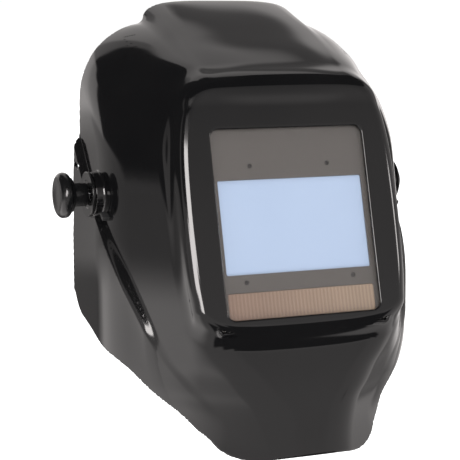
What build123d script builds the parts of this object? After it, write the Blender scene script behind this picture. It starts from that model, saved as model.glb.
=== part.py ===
from build123d import *
import math
import os

os.makedirs("parts", exist_ok=True)

# ---------------------------------------------------------------- driving dimensions (mm)
WALL = 2.8            # moulded shell wall
REAR_Y = 44.0         # flat rear edge of the shell, up to the height where it leans back over the crown
REAR_LEAN = (30.0, 51.0, 125.0)   # lean starts at this height and reaches this y at that height
HALF_W = 110.5        # half width at the raised side panels
PANEL_STEP = 4.5      # how far the side panels stand out
HUB_R = 16.0          # pivot hub on each side of the shell
PIVOT_HOLE_R = 5.08
SLEEVE_R = 5.0
BOLT_R = 3.0
FACE_Y, FACE_Z = -86.0, -12.0   # centre of the window opening
FACE_TILT = 15.76               # face plane leans back by this many degrees
OPEN_W, OPEN_H, OPEN_R = 106.0, 120.5, 6.0
FRAME_HW, FRAME_TOP, FRAME_BOT, FRAME_R = 77.5, 95.0, 81.0, 26.0
CART_W, CART_H, CART_T = 114.0, 133.0, 9.0      # standard cartridge
LENS_T = 1.0
CART_FRONT = 3.3                # depth of the cartridge's front behind the frame's front plane
GLASS_W, GLASS_H, GLASS_V = 100.0, 60.0, -2.0
BAND_A, BAND_B = 78.0, 110.0    # half width and front half length of the head band
BAND_T = 2.2
BAND_CY, BAND_CZ, BAND_TILT = 62.0, -2.0, 10.0
NAPE_R = 78.0
RACK_PITCH = 4.712
PINION_R = 6.0
KNOB_R, KNOB_NECK_R = 15.0, 7.8

t = math.radians(FACE_TILT)
FACE_N = (0.0, -math.cos(t), math.sin(t))
FACE = Plane(origin=(0, FACE_Y, FACE_Z), x_dir=(1, 0, 0), z_dir=FACE_N).location
b = math.radians(BAND_TILT)
BAND = Plane(origin=(0, BAND_CY, BAND_CZ), x_dir=(1, 0, 0), z_dir=(0, math.sin(b), math.cos(b))).location


def save(name, *shapes):
    solids = []
    for s in shapes:
        solids += list(s.solids())
    out = solids[0] if len(solids) == 1 else Compound(children=solids)
    export_step(out, f"parts/{name}.step")
    return out


def xbox(x0, x1, y0, y1, z0, z1):
    return Pos((x0 + x1) / 2, (y0 + y1) / 2, (z0 + z1) / 2) * Box(x1 - x0, y1 - y0, z1 - z0)


def xcyl(r, x0, x1, y=0.0, z=0.0):
    """Cylinder along X."""
    return Pos((x0 + x1) / 2, y, z) * Rot(0, 90, 0) * Cylinder(r, abs(x1 - x0))


def plate(w, h, r, z0, z1, cx=0.0, cy=0.0):
    """Rounded rectangular plate between two heights in its own frame."""
    sk = RectangleRounded(w, h, r) if r > 0 else Rectangle(w, h)
    return Pos(cx, cy, z0) * extrude(sk, z1 - z0)


def mirror_x(s):
    return mirror(s, about=Plane.YZ)


# ---------------------------------------------------------------- shell
# Horizontal outlines of the shell's right half: height, then points from the
# middle of the front to the flat side.
SECTIONS = [
    (-176.0, [(0, -126), (14, -123), (26, -111), (45, -95), (64, -78), (82, -60), (98, -40), (107, -18), (110.5, 12)]),
    (-150.0, [(0, -119), (16, -115.5), (30, -105.5), (46, -93), (63, -78.5), (82, -60), (98, -40), (107, -18), (110.5, 12)]),
    (-120.0, [(0, -108), (19, -106), (38, -98.5), (56, -88), (71, -76), (86, -60), (99, -39), (107.5, -17), (110.5, 12)]),
    (-90.0, [(0, -98), (25, -97), (46, -93), (64, -86), (78, -76), (91, -58), (101, -38), (108, -16), (110.5, 12)]),
    (-50.0, [(0, -87), (28, -86.5), (52, -85), (70, -82), (82, -74), (92, -58), (101, -38), (108, -16), (110.5, 12)]),
    (0.0, [(0, -73), (28, -72.5), (52, -71), (68, -68.5), (80, -62), (90, -48), (99.5, -30), (107, -12), (110.5, 14)]),
    (40.0, [(0, -61), (28, -60.5), (50, -59.5), (65, -57), (76, -50.5), (87, -39), (98, -22), (106, -4), (110.5, 18)]),
    (80.0, [(0, -53), (24, -52), (42, -48.5), (56, -40.5), (66, -31), (75, -18), (83, -4), (91, 11), (99, 30)]),
    (104.0, [(0, -45), (20, -42), (34, -36), (42, -29), (48, -18.5), (56, -3.4), (64, 11.6), (73, 28.5), (83, 47)]),
    (130.0, [(0, -34), (5, -29), (9, -20), (12, -8), (18, 4), (24, 15.3), (30, 26.5), (37, 39.7), (46, 56.5)]),
]
# Side profile of the crown, from the rear edge over the top to the front.
CROWN = [(60, 125), (44, 119.2), (20, 109.2), (0, 101.2), (-20, 93.6), (-35, 87.6), (-46, 82.4), (-53, 78)]
# Front outline of the crown's shoulders: half width, height.
SHOULDER = [(0, 119.8), (30, 118.4), (57, 113.2), (69, 109.6), (79.6, 104.2), (90, 95), (97, 84), (102, 72), (105.4, 58), (110, 38), (114, 10)]
# Crown hump.
HUMP_SIDE = [(62, 129), (51, 127), (42, 124.4), (20, 116), (-7, 104.2), (-27, 95), (-40, 87.8), (-49, 82)]
HUMP_FRONT = [(0, 127), (30, 125.8), (42, 123.4), (47.5, 120.2), (51.5, 115), (54, 107), (54.5, 88)]
# Lower edge of the shell seen from the side.
LOWER = [(60, -72), (44, -72), (38, -76.5), (31, -83), (16, -88), (0, -92), (-26, -100), (-45, -108), (-60, -126), (-75, -144), (-82, -149),
         (-88, -156), (-95, -160.5), (-103, -161), (-110.5, -159), (-118, -157), (-140, -155)]
# Side panel edge seen from the side: the panel is raised below and behind this line.
CREASE = [(70, 62), (44, 40), (25, 20), (7, 1.5), (-12, -12), (-30, -23.5), (-55, -45), (-80, -72), (-140, -140)]


def section_wire(z, pts, off):
    """Closed outline at height z, moved inwards by off."""
    moved = []
    for i, (x, y) in enumerate(pts):
        a = pts[max(i - 1, 0)]
        c = pts[min(i + 1, len(pts) - 1)]
        if i == 0:
            nx, ny = 0.0, -1.0
        elif i == len(pts) - 1:
            nx, ny = 1.0, 0.0
        else:
            tx, ty = c[0] - a[0], c[1] - a[1]
            ln = math.hypot(tx, ty)
            nx, ny = ty / ln, -tx / ln
        moved.append((x - nx * off, y - ny * off))
    left = [(-x, y) for x, y in reversed(moved[1:])]
    pts3 = [Vector(x, y, z) for x, y in left + moved]
    front = Spline(*pts3, tangents=[(0, -1, 0), (0, 1, 0)])
    e0, e1 = pts3[-1], pts3[0]
    c0, c1 = Vector(e0.X, 70, z), Vector(e1.X, 70, z)
    return Wire([front.edge() if hasattr(front, "edge") else front, Edge.make_line(e0, c0), Edge.make_line(c0, c1), Edge.make_line(c1, e1)])


def loft_body(off):
    faces = [Face(section_wire(z, p, off)) for z, p in SECTIONS]
    return loft(faces)


def offset_line(pts, off, side=1):
    out = []
    for i, (x, y) in enumerate(pts):
        a = pts[max(i - 1, 0)]
        c = pts[min(i + 1, len(pts) - 1)]
        tx, ty = c[0] - a[0], c[1] - a[1]
        ln = math.hypot(tx, ty)
        out.append((x + side * ty / ln * off, y - side * tx / ln * off))
    return out


def side_prism(line, half, closing):
    """Region of the YZ plane between a line of points and closing points, as a bar along X."""
    pts = [Vector(0, y, z) for y, z in line]
    sp = Edge.make_spline(pts)
    poly = [pts[-1]] + [Vector(0, y, z) for y, z in closing] + [pts[0]]
    edges = [sp] + [Edge.make_line(poly[i], poly[i + 1]) for i in range(len(poly) - 1)]
    return Pos(-half, 0, 0) * extrude(Face(Wire(edges)), 2 * half, dir=(1, 0, 0))


def front_prism(line, y0, y1, zlow):
    """Symmetric outline in the XZ plane, as a bar along Y."""
    right = line
    left = [(-x, z) for x, z in reversed(line[1:])]
    pts = [Vector(x, y0, z) for x, z in left + right]
    sp = Edge.make_spline(pts)
    a, c = pts[-1], pts[0]
    l0, l1 = Vector(a.X, y0, zlow), Vector(c.X, y0, zlow)
    w = Wire([sp, Edge.make_line(a, l0), Edge.make_line(l0, l1), Edge.make_line(l1, c)])
    return extrude(Face(w), y1 - y0, dir=(0, 1, 0))


def poly_prism(pts, x0, x1):
    """Polygon in the YZ plane, as a bar from x0 to x1."""
    w = Wire.make_polygon([Vector(x0, y, z) for y, z in pts], close=True)
    return extrude(Face(w), x1 - x0, dir=(1, 0, 0))


def shell_solid(off):
    """The shell's full solid, with every surface moved inwards by off."""
    body = loft_body(off)
    crown = side_prism(offset_line(CROWN, off, -1), 130, [(-58, 70), (-160, 20), (-160, -200), (80, -200), (80, CROWN[0][1] - off)])
    body = body & crown
    body = body & front_prism(offset_line(SHOULDER, off, 1), -170, 90, -200)
    # the side walls step in above the raised panels
    crease = offset_line(CREASE, off, -1)
    region = crease + [(-160, 150), (70, 150)]
    side_x = HALF_W - PANEL_STEP - off
    for s in (1, -1):
        step = poly_prism(region, side_x if s > 0 else -side_x - 20, side_x + 20 if s > 0 else -side_x)
        body = body - step
    hump = side_prism(offset_line(HUMP_SIDE, off, -1), 62, [(-40, 60), (80, 60), (80, HUMP_SIDE[0][1] - off)])
    hump = hump & front_prism(offset_line(HUMP_FRONT, off, 1), -100, 90, 62)
    hump = hump & loft_body(off)
    body = body + hump
    return body


outer = shell_solid(0.0)
inner = shell_solid(WALL)

frame_h = FRAME_TOP + FRAME_BOT
frame_cv = (FRAME_TOP - FRAME_BOT) / 2
frame_block = plate(2 * FRAME_HW, frame_h, FRAME_R, -26, 0, 0, frame_cv)
front_edges = frame_block.faces().sort_by(Axis.Z)[-1].edges()
frame_block = fillet(front_edges, 7.0)
frame_hollow = plate(2 * FRAME_HW - 2 * WALL, frame_h - 2 * WALL, FRAME_R - WALL, -60, -WALL, 0, frame_cv)
# pocket walls that hold the cartridge and its cover lenses
pocket = plate(CART_W + 6.0, CART_H + 6.0, 4.0, -12.0, -2.2) - plate(CART_W + 0.8, CART_H + 0.8, 2.0, -14.0, -2.2)
inside_cut = inner + (FACE * frame_hollow)
shell = outer + (FACE * frame_block)
shell = shell - inside_cut
shell = shell + (FACE * pocket)
shell = shell - (FACE * plate(CART_W + 0.8, CART_H + 0.8, 2.0, -14.0, -2.2))
shell = shell - (FACE * plate(OPEN_W, OPEN_H, OPEN_R, -6, 5))

# pivot hubs, holes and angle slots
for s in (1, -1):
    hub = xcyl(HUB_R, s * 102.9, s * 110.5)
    shell = shell + hub
    shell = shell - xcyl(HUB_R + 0.0, s * 110.5, s * 118)
    shell = shell - xcyl(PIVOT_HOLE_R, s * 90, s * 118)
    slot = Pos(s * 106, 37, 15.2) * Rot(9, 0, 0) * Pos(-s * 106, -37, -15.2) * xbox(min(s * 98, s * 118), max(s * 98, s * 118), 31.5, 42.5, 13.9, 16.5)
    shell = shell - slot

# flat rear edge and the lower edge
lean_z, lean_y1, lean_z1 = REAR_LEAN
top_y = REAR_Y + (lean_y1 - REAR_Y) * (170 - lean_z) / (lean_z1 - lean_z)
shell = shell - poly_prism([(REAR_Y, -220), (REAR_Y, lean_z), (top_y, 170), (130, 170), (130, -220)], -140, 140)
cut_pts = [Vector(-150, y, z) for y, z in LOWER]
low = Edge.make_spline(cut_pts[1:-1])
edges = [Edge.make_line(cut_pts[0], cut_pts[1]), low, Edge.make_line(cut_pts[-2], cut_pts[-1]),
         Edge.make_line(cut_pts[-1], Vector(-150, -140, -230)), Edge.make_line(Vector(-150, -140, -230), Vector(-150, 60, -230)),
         Edge.make_line(Vector(-150, 60, -230), cut_pts[0])]
shell = shell - extrude(Face(Wire(edges)), 300, dir=(1, 0, 0))

# hooks for the retainer's tabs and the post for its turning latch, moulded inside the frame
LATCH_V = 77.0
for s in (1, -1):
    post = xbox(min(s * 26, s * 34), max(s * 26, s * 34), -76.0, -74.0, -19.0, -2.5)
    lip = xbox(min(s * 26, s * 34), max(s * 26, s * 34), -76.0, -69.4, -19.0, -16.5)
    shell = shell + (FACE * (post + lip))
lpost = (Pos(0, LATCH_V, -9.3) * Cylinder(4.6, 13.6)) - (Pos(0, LATCH_V, -13.0) * Cylinder(1.7, 6.4))
shell = shell + (FACE * lpost)
# stop lugs on the inside of the side walls
STOP_A, STOP_R = 215.0, 22.0
for s in (1, -1):
    lug = xbox(min(s * 98.8, s * 104.0), max(s * 98.8, s * 104.0), STOP_R - 3, STOP_R + 3, -1.5, 1.5)
    shell = shell + (Rot(STOP_A, 0, 0) * lug)
pieces = sorted(shell.solids(), key=lambda q: -q.volume)
shell = pieces[0]
save("shell", shell)

# ---------------------------------------------------------------- lenses and filter cartridge (face frame)
C0 = -CART_FRONT                 # front of the cartridge
C1 = C0 - CART_T                 # back of the cartridge
CM = C0 - 4.4                    # joint between the two case halves
save("front_cover_lens", FACE * plate(CART_W, CART_H, 1.5, -2.25 - LENS_T, -2.25))

glass_pocket = plate(GLASS_W + 2.0, GLASS_H + 2.0, 1.0, -40, C0 - 1.0, 0, GLASS_V)
sensor_xy = [(-27, 36.7), (27, 36.7), (-37, -36.9), (37, -36.9)]
SOLAR_TOP, SOLAR_BOT = -43.5, -63.5
solar_pocket = plate(101.4, SOLAR_TOP - SOLAR_BOT + 0.4, 1.5, C0 - 1.2, C0 + 1, 0, (SOLAR_TOP + SOLAR_BOT) / 2)
front_case = plate(CART_W, CART_H, 2.0, CM, C0)
front_case = front_case - plate(CART_W - 3.6, CART_H - 3.6, 1.0, CM - 1, C0 - 1.8)
front_case = front_case - plate(GLASS_W, GLASS_H, 1.2, -40, 5, 0, GLASS_V) - glass_pocket
front_case = front_case - solar_pocket
for u, v in sensor_xy:
    front_case = front_case - (Pos(u, v, C0 - 2) * Cylinder(1.65, 8))
save("filter_front_case", FACE * front_case)
save("filter_glass", FACE * plate(GLASS_W + 1.6, GLASS_H + 1.6, 0.8, C0 - 6.2, C0 - 1.0, 0, GLASS_V))
save("solar_cell", FACE * plate(101.0, SOLAR_TOP - SOLAR_BOT, 1.3, C0 - 1.2, C0 - 0.2, 0, (SOLAR_TOP + SOLAR_BOT) / 2))
sensors = []
for u, v in sensor_xy:
    body = (Pos(u, v, C0 - 1.3) * Cylinder(1.55, 1.8)) + (Pos(u, v, C0 - 2.05) * Cylinder(2.1, 0.4))
    sensors.append(FACE * body)
save("arc_sensors", *sensors)

CAP_UV = [(-38.0, -48.5), (38.0, -48.5)]
BTN = {"power_button": (-44.0, 47.0), "mode_button": (44.0, 47.0), "minus_button": (-30.0, 47.0), "plus_button": (30.0, 47.0)}
rear_case = plate(CART_W, CART_H, 2.0, C1, CM) - plate(CART_W - 3.6, CART_H - 3.6, 1.0, C1 + 1.6, CM + 1)
rear_case = rear_case - plate(96, 56, 2.0, C1 - 1, C1 + 3, 0, GLASS_V)
rear_case = rear_case - plate(38, 17, 1.0, C1 - 1, C1 + 3, 0, 47)
for u, v in BTN.values():
    rear_case = rear_case - (Pos(u, v, C1 + 1) * Cylinder(4.0, 6))
for u, v in CAP_UV:
    rear_case = rear_case - (Pos(u, v, C1 + 1) * Cylinder(12.3, 6))
save("filter_rear_case", FACE * rear_case)
save("control_display", FACE * plate(37.4, 16.4, 0.8, C1 + 0.25, C1 + 2.4, 0, 47))
board = plate(108, 24, 1.0, C0 - 4.2, C0 - 3.2, 0, 48.5) - plate(7, 7, 0, C0 - 5, C0 - 2, -27, 36.7)
board = plate(108, 22, 1.0, C0 - 4.2, C0 - 3.2, 0, 50.5)
save("circuit_board", FACE * board)
for name, (u, v) in BTN.items():
    btn = (Pos(u, v, C1 + 0.6) * Cylinder(3.65, 3.2)) + (Pos(u, v, C1 + 2.3) * Cylinder(4.6, 0.7))
    btn = btn - (Pos(u, v, C1 - 3.6) * Sphere(3.2))
    save(name, FACE * btn)
cells = [FACE * (Pos(u, v, C1 + 4.2) * Cylinder(10.0, 3.2)) for u, v in CAP_UV]
save("coin_cells", *cells)
for side, (u, v) in zip(("right", "left"), CAP_UV):
    cap = (Pos(u, v, C1 + 1.2) * Cylinder(12.0, 2.0))
    cap = cap - (Pos(u, v, C1 + 0.3) * Box(15, 2.2, 1.8))
    save(f"battery_cap_{side}", FACE * cap)
save("inner_cover_lens", FACE * plate(104, 62, 2.0, C1 - 1.3, C1 - 0.3, 0, GLASS_V))

# ---------------------------------------------------------------- retainer, its pins and catch
R0, R1 = C1 - 0.2, C1 - 3.6
ret = plate(CART_W + 4, 138, 3.0, R1, R0, 0, 0.5)
ret = ret - plate(104.6, 118, 4.0, R1 - 1, R0 + 1, 0, -1.5)
ret = ret + plate(107, 3.4, 0, R1, R0, 0, -34.6) + plate(107, 3.4, 0, R1, R0, 0, 31.4)
ret = ret - plate(104.8, 62.8, 2.2, C1 - 1.7, C1 + 1, 0, GLASS_V)
for s in (1, -1):
    ret = ret + xbox(min(s * 27, s * 33), max(s * 27, s * 33), -73.4, -66, R1, R0)
save("filter_retainer", FACE * ret)
latch = xbox(-4.5, 4.5, LATCH_V - 12.5, LATCH_V + 6.0, -18.9, -16.5)
latch = latch + xbox(-4.5, -2.5, LATCH_V - 12.5, LATCH_V - 5.5, -21.5, -18.9) + xbox(2.5, 4.5, LATCH_V - 12.5, LATCH_V - 5.5, -21.5, -18.9)
latch = latch - (Pos(0, LATCH_V, -17) * Cylinder(2.06, 8))
save("retainer_latch", FACE * latch)
screw = (Pos(0, LATCH_V, -17.65) * Cylinder(2.0, 3.1)) + (Pos(0, LATCH_V, -20.0) * Cylinder(3.7, 1.6)) + (Pos(0, LATCH_V, -13.1) * Cylinder(1.7, 6.0))
screw = screw - (Pos(0, LATCH_V, -20.6) * Box(5.4, 0.9, 1.2))
save("latch_screw", FACE * screw)

# ---------------------------------------------------------------- head band (band frame: +Y to the back of the head, +Z up)


def strip_faces(outer_p, inner_p, z0, z1):
    """Strip between two lines of plan points, from height z0 to z1."""
    so = Edge.make_spline([Vector(x, y, z0) for x, y in outer_p])
    si = Edge.make_spline([Vector(x, y, z0) for x, y in inner_p])
    o0, o1 = Vector(*outer_p[0], z0), Vector(*outer_p[-1], z0)
    i0, i1 = Vector(*inner_p[0], z0), Vector(*inner_p[-1], z0)
    w = Wire([so, Edge.make_line(o1, i1), si, Edge.make_line(i0, o0)])
    return extrude(Face(w), z1 - z0, dir=(0, 0, 1))


def band_point(deg, a, bb, off):
    """Point of the band's plan at an angle: ellipse in front, circle of radius a behind."""
    q = math.radians(deg)
    rb = bb if math.sin(q) < 0 else a
    x, y = a * math.cos(q), rb * math.sin(q)
    nx, ny = math.cos(q) / a, math.sin(q) / rb
    ln = math.hypot(nx, ny)
    return (x + nx / ln * off, y + ny / ln * off)


def ellipse_band(a, bb, th, z0, z1, nseg=56, ang0=180.0, ang1=360.0):
    angs = [ang0 + (ang1 - ang0) * i / nseg for i in range(nseg + 1)]
    return strip_faces([band_point(g, a, bb, th / 2) for g in angs], [band_point(g, a, bb, -th / 2) for g in angs], z0, z1)


BROW_Z0, BROW_Z1 = -14.0, 16.0
TAIL = 34.0       # the band goes on this far round the back, under the nape bands
brow = ellipse_band(BAND_A, BAND_B, BAND_T, BROW_Z0, BROW_Z1, 72, 180.0 - TAIL, 360.0 + TAIL)
brow = brow - poly_prism([(-44, 30), (60, 30), (60, 8.5), (14, 8.5), (0, 9.8), (-12, 12), (-28, 15), (-44, 17)], -95, 95)
brow = brow - poly_prism([(-44, -30), (60, -30), (60, -8.5), (14, -8.5), (0, -9.3), (-12, -10.5), (-28, -13), (-44, -15)], -95, 95)
pad = ellipse_band(BAND_A - 4.3, BAND_B - 4.3, 5.6, -18.0, 19.0, ang0=205, ang1=335)
save("sweatband", BAND * pad)

# nape band halves: arcs about the band frame's origin, toothed where they cross
RO = NAPE_R + BAND_T / 2


def ring_arc(r0, r1, z0, z1, a0, a1):
    """Part of a flat ring, from angle a0 to a1 in degrees."""
    ring = Pos(0, 0, z0) * (extrude(Circle(r1), z1 - z0) - extrude(Circle(r0), z1 - z0))
    pts = [(0, 0)]
    n = max(2, int(abs(a1 - a0) / 12))
    for i in range(n + 1):
        q = math.radians(a0 + (a1 - a0) * i / n)
        pts.append((r1 * 1.4 * math.cos(q), r1 * 1.4 * math.sin(q)))
    w = Wire.make_polygon([Vector(x, y, z0 - 1) for x, y in pts], close=True)
    return ring & extrude(Face(w), z1 - z0 + 2, dir=(0, 0, 1))


N0 = NAPE_R + 1.5       # inner face of the nape bands
strap_rivets = []
for s in (1, -1):
    shank = Pos(s * 74.4, -12.0, 8.0) * Rot(0, 90, 0) * Cylinder(1.6, 9.6)
    rivet = shank + (Pos(s * 68.9, -12.0, 8.0) * Rot(0, 90, 0) * Cylinder(3.8, 1.4)) + (Pos(s * 79.75, -12.0, 8.0) * Rot(0, 90, 0) * Cylinder(2.5, 1.2))
    strap_rivets.append(rivet)
    brow = brow - shank
    for y in (52.0, 64.0):
        brow = brow - (BAND.inverse() * (Pos(s * 79.6, y, -1.5) * Rot(0, 90, 0) * Cylinder(1.6, 8.0)))
save("brow_band", BAND * brow)
save("strap_rivets", *[BAND * r for r in strap_rivets])

# left half (wearer's left, +X) carries the upper rack, right half the lower one
DEG = 180 / math.pi
PITCH_A = RACK_PITCH / (N0 + 1.0) * DEG       # one rack pitch as an angle


def nape_half(side):
    """One half of the nape band: the strap round the side, then a tongue with a toothed slot."""
    r0, r1 = (N0, N0 + 1.8)
    a_end = 90 + 16 if side > 0 else 90 - 16
    a_start = 14 if side > 0 else 166
    main = ring_arc(r0, r1, -10, 10, a_start, 90 - 30 if side > 0 else 90 + 30)
    # tongue past the middle: only the upper or the lower half of the height
    tongue = ring_arc(r0, r1, PINION_R + 0.95 if side > 0 else -10.0, 10.0 if side > 0 else -PINION_R - 0.95,
                      90 - 31 if side > 0 else 90 + 31, a_end)
    half = main + tongue
    teeth = None
    for k in range(-3, 4):
        # teeth point at the pinion; the rack's gap is centred where a pinion tooth stands
        ang = 90 + (k + 0.5) * PITCH_A
        w_root, w_tip = 2.5, 1.1
        zr, zt = PINION_R + 0.95, PINION_R - 0.6
        sgn = 1 if side > 0 else -1
        prof = [(-w_root / 2, sgn * (zr + 0.4)), (w_root / 2, sgn * (zr + 0.4)), (w_root / 2, sgn * zr), (w_tip / 2, sgn * zt), (-w_tip / 2, sgn * zt), (-w_root / 2, sgn * zr)]
        w = Wire.make_polygon([Vector(x, r0, z) for x, z in prof], close=True)
        tooth = extrude(Face(w), 1.8, dir=(0, 1, 0))
        half = half + (Rot(0, 0, ang - 90) * tooth)
    return half


for side, name in ((1, "nape_band_left"), (-1, "nape_band_right")):
    save(name, BAND * nape_half(side))

# ratchet: housing behind the bands, pinion between the racks, knob outside
HY0 = N0 - 4.0      # inner face of the housing
pin_y0, pin_y1 = N0 - 0.6, N0 + 2.6


def ycyl(r, y0, y1, x=0.0, z=0.0):
    return Pos(x, (y0 + y1) / 2, z) * Rot(90, 0, 0) * Cylinder(r, abs(y1 - y0))


housing = ring_arc(N0 - 3.6, N0 - 0.4, -14, 14, 90 - 23, 90 + 23)
lip_t = ring_arc(N0 - 3.6, N0 + 2.4, 10.5, 14, 90 - 23, 90 + 23)
lip_b = ring_arc(N0 - 3.6, N0 + 2.4, -14, -10.5, 90 - 23, 90 + 23)
housing = housing + lip_t + lip_b
housing = housing - ycyl(2.06, HY0 - 5, HY0 + 12)
save("ratchet_housing", BAND * housing)
cover = ring_arc(N0 + 2.5, N0 + 4.9, -14, 14, 90 - 23, 90 + 23)
cover = cover + ycyl(14.0, N0 + 3.2, N0 + 7.6)
cover = cover - ycyl(11.4, N0 + 5.2, N0 + 12)
cover = cover - ycyl(3.06, N0 - 5, N0 + 12)
save("ratchet_cover", BAND * cover)

pinion = None
blank = ycyl(PINION_R - 1.3, N0 + 0.0, N0 + 2.1)
pinion = blank + ycyl(3.0, N0 + 2.1, N0 + 8.4) + ycyl(2.0, N0 - 3.4, N0 + 0.0)
for k in range(8):
    prof = [(-1.15, PINION_R - 1.6), (1.15, PINION_R - 1.6), (0.85, PINION_R), (0.5, PINION_R + 0.6), (-0.5, PINION_R + 0.6), (-0.85, PINION_R)]
    w = Wire.make_polygon([Vector(x, N0 + 0.0, z) for x, z in prof], close=True)
    tooth = extrude(Face(w), 2.1, dir=(0, 1, 0))
    pinion = pinion + (Rot(0, 45.0 * k, 0) * tooth)
save("ratchet_pinion", BAND * pinion)
# detent spring: a wavy steel ring that clicks on the cover's inside
spring = ycyl(10.6, N0 + 5.2, N0 + 6.0) - ycyl(8.6, N0 + 5, N0 + 7)
save("ratchet_spring", BAND * spring)
rk = ycyl(17.0, N0 + 8.0, N0 + 18.0)
rk = fillet(rk.edges().filter_by(GeomType.CIRCLE).sort_by(Axis.Y)[-1], 3.0)
for k in range(12):
    q = math.radians(30 * k + 15)
    rk = rk - ycyl(2.6, N0 + 5.0, N0 + 20.0, 18.4 * math.cos(q), 18.4 * math.sin(q))
rk = rk - ycyl(3.0, N0 + 5.0, N0 + 8.4) - (ycyl(10.0, N0 + 16.6, N0 + 20.0))
save("ratchet_knob", BAND * rk)
npad = ring_arc(N0 - 9.6, N0 - 3.9, -16, 16, 90 - 30, 90 + 30)
save("nape_pad", BAND * npad)

# ---------------------------------------------------------------- straps over the head
ANCH_Y = -12.0


def strap(height, lean, width, th, a_off=0.0, ang0=0.0, ang1=180.0):
    """Half-elliptic strap over the head, standing on the band and leaning by some degrees."""
    outer_p, inner_p = [], []
    n = 36
    a = BAND_A - 3.8 - a_off
    for i in range(n + 1):
        q = math.radians(ang0 + (ang1 - ang0) * i / n)
        x, z = a * math.cos(q), height * math.sin(q)
        nx, nz = math.cos(q) / a, math.sin(q) / height
        ln = math.hypot(nx, nz)
        nx, nz = nx / ln, nz / ln
        outer_p.append((x + nx * th / 2, z + nz * th / 2))
        inner_p.append((x - nx * th / 2, z - nz * th / 2))
    y = -width / 2
    so = Edge.make_spline([Vector(x, y, z) for x, z in outer_p])
    si = Edge.make_spline([Vector(x, y, z) for x, z in inner_p])
    o0, o1 = Vector(outer_p[0][0], y, outer_p[0][1]), Vector(outer_p[-1][0], y, outer_p[-1][1])
    i0, i1 = Vector(inner_p[0][0], y, inner_p[0][1]), Vector(inner_p[-1][0], y, inner_p[-1][1])
    w = Wire([so, Edge.make_line(o1, i1), si, Edge.make_line(i0, o0)])
    s = extrude(Face(w), width, dir=(0, 1, 0))
    return Pos(0, ANCH_Y, 2.0) * Rot(-lean, 0, 0) * s


# adjustable crown strap: the lower half carries pegs that snap into the upper half's holes
CROWN_H = 74.0
crown_l = strap(CROWN_H, -14.0, 17.0, 1.6, 0.0, 0.0, 112.0)
crown_r = strap(CROWN_H - 1.8, -14.0, 17.0, 1.6, 1.8, 72.0, 180.0)
rear_s = strap(61.5, 24.0, 14.0, 1.6, 3.6)
snaps = []
for q in (84.0, 96.0):
    qr = math.radians(q)
    px, pz = (BAND_A - 3.8) * math.cos(qr), CROWN_H * math.sin(qr)
    snap = (Pos(px, 0, pz + 1.6) * Cylinder(3.0, 1.2)) + (Pos(px, 0, pz - 0.9) * Cylinder(1.3, 5.0))
    snap = Pos(0, ANCH_Y, 2.0) * Rot(14.0, 0, 0) * snap
    snaps.append(snap)
    crown_l = crown_l - snap
    crown_r = crown_r - snap
for r in strap_rivets:
    crown_l = crown_l - r
    crown_r = crown_r - r
    rear_s = rear_s - r
save("crown_strap_left", BAND * crown_l)
save("crown_strap_right", BAND * crown_r)
save("rear_strap", BAND * rear_s)
save("strap_snaps", *[BAND * x for x in snaps])

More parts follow.
